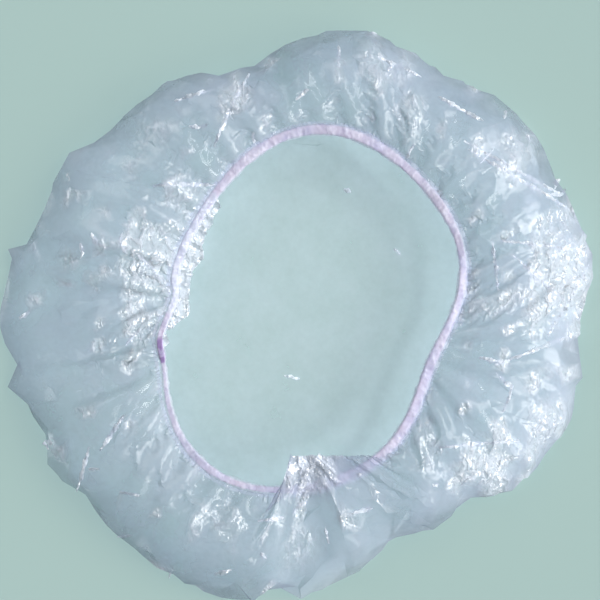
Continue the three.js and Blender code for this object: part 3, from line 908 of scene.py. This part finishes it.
def studio_world():
    """An even surround that is brighter towards +X and +Y, as from a large window there."""
    world = bpy.data.worlds.new("studio_world")
    world.use_nodes = True
    tree = world.node_tree
    toward = add_node(tree, "ShaderNodeTexCoord").outputs["Generated"]
    side = add_node(
        tree, "ShaderNodeVectorMath", {"operation": "DOT_PRODUCT"}, i0=toward, i1=(0.88, 0.47, 0.0)
    ).outputs["Value"]
    level = add_node(tree, "ShaderNodeMapRange", i0=side, i1=-1.0, i2=1.0, i3=0.02, i4=0.42)
    tree.nodes["Background"].inputs["Color"].default_value = hex_colour("#F2F4FA")
    tree.links.new(level.outputs["Result"], tree.nodes["Background"].inputs["Strength"])
    bpy.context.scene.world = world


def studio():
    """The floor, the surround, the lamps and the camera straight above the cap."""
    reach = FLOOR_REACH * MM
    corners = [(-reach, -reach, 0), (reach, -reach, 0), (reach, reach, 0), (-reach, reach, 0)]
    floor = mesh_object("floor", corners, [(0, 1, 2, 3)])
    floor.data.materials.append(floor_material())
    studio_world()
    for settings in LAMPS:
        lamp(*settings)
    camera = bpy.data.objects.new("camera", bpy.data.cameras.new("camera"))
    camera.location = (*((RIM_MIDDLE + CAMERA_SHIFT) * MM), CAMERA_HEIGHT * MM)
    camera.data.sensor_width = 36
    camera.data.lens = 120
    camera.data.clip_start = 0.05
    bpy.context.collection.objects.link(camera)
    bpy.context.scene.camera = camera


bpy.context.scene.view_settings.view_transform = "Standard"
studio()

clear_film = film_material("polyethylene_film", 0.12)
hem_film = film_material("gathered_film", 0.5)
film, film_grid = film_piece()
creases = crease_piece(film_grid)

casing = swept_piece(
    "hem_casing_fold", loop_curve("casing_line", 2048), sweep_tree("gathered_casing", hem_film),
    Width=5.0 * MM, Thickness=3.4 * MM, Corner=1.6 * MM, Ribs=GATHERS, Rib_depth=0.06 * MM, Rib_drift=6.0,
    Lump_depth=2.6 * MM, Lump_size=5.88 * MM, Swell=1.6,
)
elastic = swept_piece(
    "elastic_strip", loop_curve("elastic_line", 1200, turns=1 + LAP / LOOP, up=-0.4, rise=lap_rise),
    sweep_tree("elastic_strip", elastic_material()),
    Width=3.6 * MM, Thickness=0.8 * MM, Corner=0.35 * MM, Ribs=90, Rib_depth=0.05 * MM, Rib_drift=1.0,
    Lump_depth=0.9 * MM, Lump_size=4.17 * MM, Twist=2.4, Swell=2.6,
)
weld = swept_piece(
    "elastic_lap_pad", loop_curve("weld_line", 24, start=LAP_SHARE + 2 / LOOP, turns=10 / LOOP, up=0.5),
    sweep_tree("lap_weld", weld_material()),
    Width=3 * MM, Thickness=0.5 * MM, Corner=0.2 * MM, Ribs=7, Rib_depth=0.05 * MM, Rib_drift=0.0,
    Lump_depth=0.1 * MM, Lump_size=2.5 * MM,
)
seal = swept_piece(
    "hem_seal_line", loop_curve("seal_line", 1536, out=3.2), sweep_tree("seal_line", clear_film),
    Width=1.6 * MM, Thickness=0.3 * MM, Corner=0.12 * MM, Ribs=GATHERS, Rib_depth=0.03 * MM, Rib_drift=1.0,
    Lump_depth=0.3 * MM, Lump_size=6.25 * MM,
)

frill = frill_piece()
for piece in (film, creases, frill):
    piece.data.materials.append(clear_film)
mark(casing, "crush", 0.3)
from_middle = np.array([v.co.xy for v in elastic.data.vertices]) / MM - MOUTH_MIDDLE
turn = np.degrees(np.arctan2(from_middle[:, 1], from_middle[:, 0]))
mark(elastic, "lap", np.clip((LAP_REACH - np.abs(turn_apart(turn, LAP_DIRECTION))) / LAP_FADE, 0, 1))

for piece, slot in ((frill, "hem_film"), (creases, "clear_film")):
    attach(piece, "root")
for piece, node, slot in (
    (film, "cap_film", "clear_film"),
    (casing, "hem_casing", "hem_film"),
    (seal, "hem_seal", "fused_film"),
    (elastic, "elastic_band", "elastic"),
    (weld, "elastic_lap_weld", "fused_elastic"),
):
    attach(piece, "root")
    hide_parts(node)
